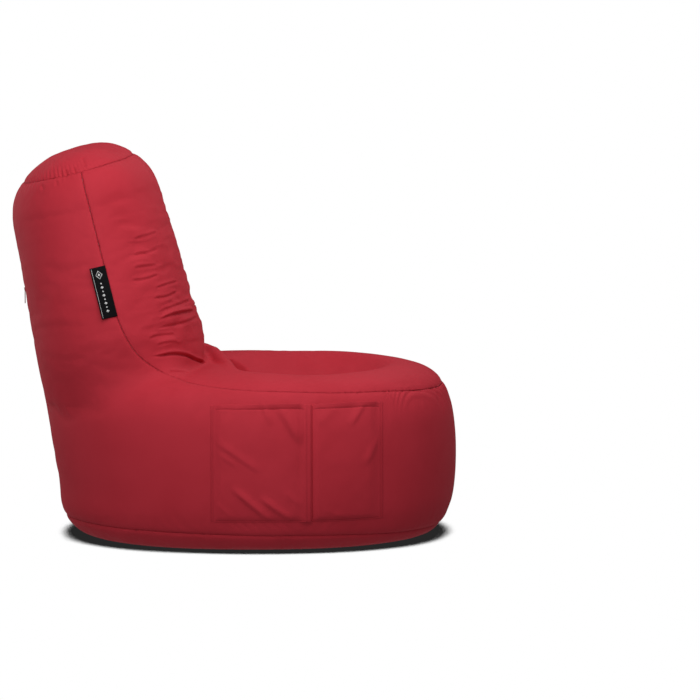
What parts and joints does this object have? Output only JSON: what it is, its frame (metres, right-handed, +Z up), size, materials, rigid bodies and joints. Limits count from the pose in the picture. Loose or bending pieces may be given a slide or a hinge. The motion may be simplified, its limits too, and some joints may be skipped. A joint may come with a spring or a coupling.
{
  "type": "bean bag chair",
  "caption": "Stuffed floor chair with a high leaning back, dished seat, side pockets, zipped sewn cover, zipped inner bag and bead fill.",
  "frame": {"origin": "centre of the contact patch on the floor", "axes": "+X the way a sitter faces, +Y to the sitter's left, +Z up"},
  "size_m": [0.9219, 0.7631, 0.8161],
  "materials": {
    "cover_fabric": "satin woven",
    "label_black": "woven",
    "liner_fabric": "matt woven",
    "zip_tape": "woven",
    "zip_coil": "satin",
    "zip_metal": "satin nickel plate",
    "eps_beads": "matt"
  },
  "bodies": {
    "bag": {"top_cap": "cover_fabric", "front_panel": "cover_fabric", "side_panel_right": "cover_fabric", "side_panel_left": "cover_fabric", "base_panel": "cover_fabric", "pocket_large": "cover_fabric", "pocket_small": "cover_fabric", "side_label": "label_black", "zip_tape_right": "zip_tape", "zip_tape_left": "zip_tape", "zip_coil_right": "zip_coil", "zip_coil_left": "zip_coil", "zip_end_stops": "zip_metal", "zip_foot_stop": "zip_metal", "inner_bag_right": "liner_fabric", "inner_bag_left": "liner_fabric", "inner_zip_tape_right": "zip_tape", "inner_zip_tape_left": "zip_tape", "inner_zip_coil_right": "zip_coil", "inner_zip_coil_left": "zip_coil", "inner_zip_end_stops": "zip_metal", "inner_zip_foot_stop": "zip_metal", "bead_fill": "eps_beads"},
    "zip_slider": {"zip_slider": "zip_metal"},
    "zip_pull": {"zip_pull": "zip_metal"},
    "inner_zip_slider": {"inner_zip_slider": "zip_metal"}
  },
  "joints": [
    {"name": "zip_slide", "type": "slide", "parent": "bag", "child": "zip_slider", "axis": [-0.1702, 0, 0.9854], "range_m": [-0.385, 0]},
    {"name": "pull_swing", "type": "hinge", "parent": "zip_slider", "child": "zip_pull", "pos_m": [-0.48188, 0, 0.5073], "axis": [0, 1, 0], "range_deg": [-9, 165]},
    {"name": "inner_zip_slide", "type": "slide", "parent": "bag", "child": "inner_zip_slider", "axis": [-0.1702, 0, 0.9854], "range_m": [-0.285, 0]}
  ]
}
